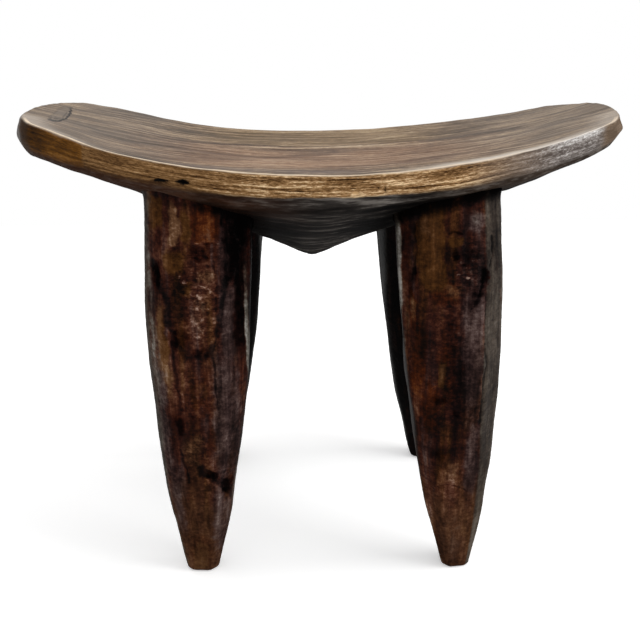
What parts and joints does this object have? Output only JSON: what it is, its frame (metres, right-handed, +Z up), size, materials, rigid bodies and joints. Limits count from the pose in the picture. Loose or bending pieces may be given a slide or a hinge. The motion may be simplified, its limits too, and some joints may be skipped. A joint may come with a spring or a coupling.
{
  "type": "carved wooden stool",
  "caption": "Low wooden stool hewn in the Senufo manner: a dished saddle seat with a cone-shaped underside on thick bullet legs that taper to small flat feet.",
  "frame": {"origin": "on the floor, below the middle of the seat", "axes": "+X along the seat's length, to the right when seen from the front; -Y towards the front; +Z up"},
  "size_m": [0.496, 0.32, 0.3771],
  "materials": {
    "seat_wood": "worn satin",
    "leg_wood": "dark handled satin"
  },
  "bodies": {
    "root": {"seat": "seat_wood", "leg_front_left": "leg_wood", "leg_front_right": "leg_wood", "leg_rear_left": "leg_wood", "leg_rear_right": "leg_wood"}
  },
  "joints": []
}
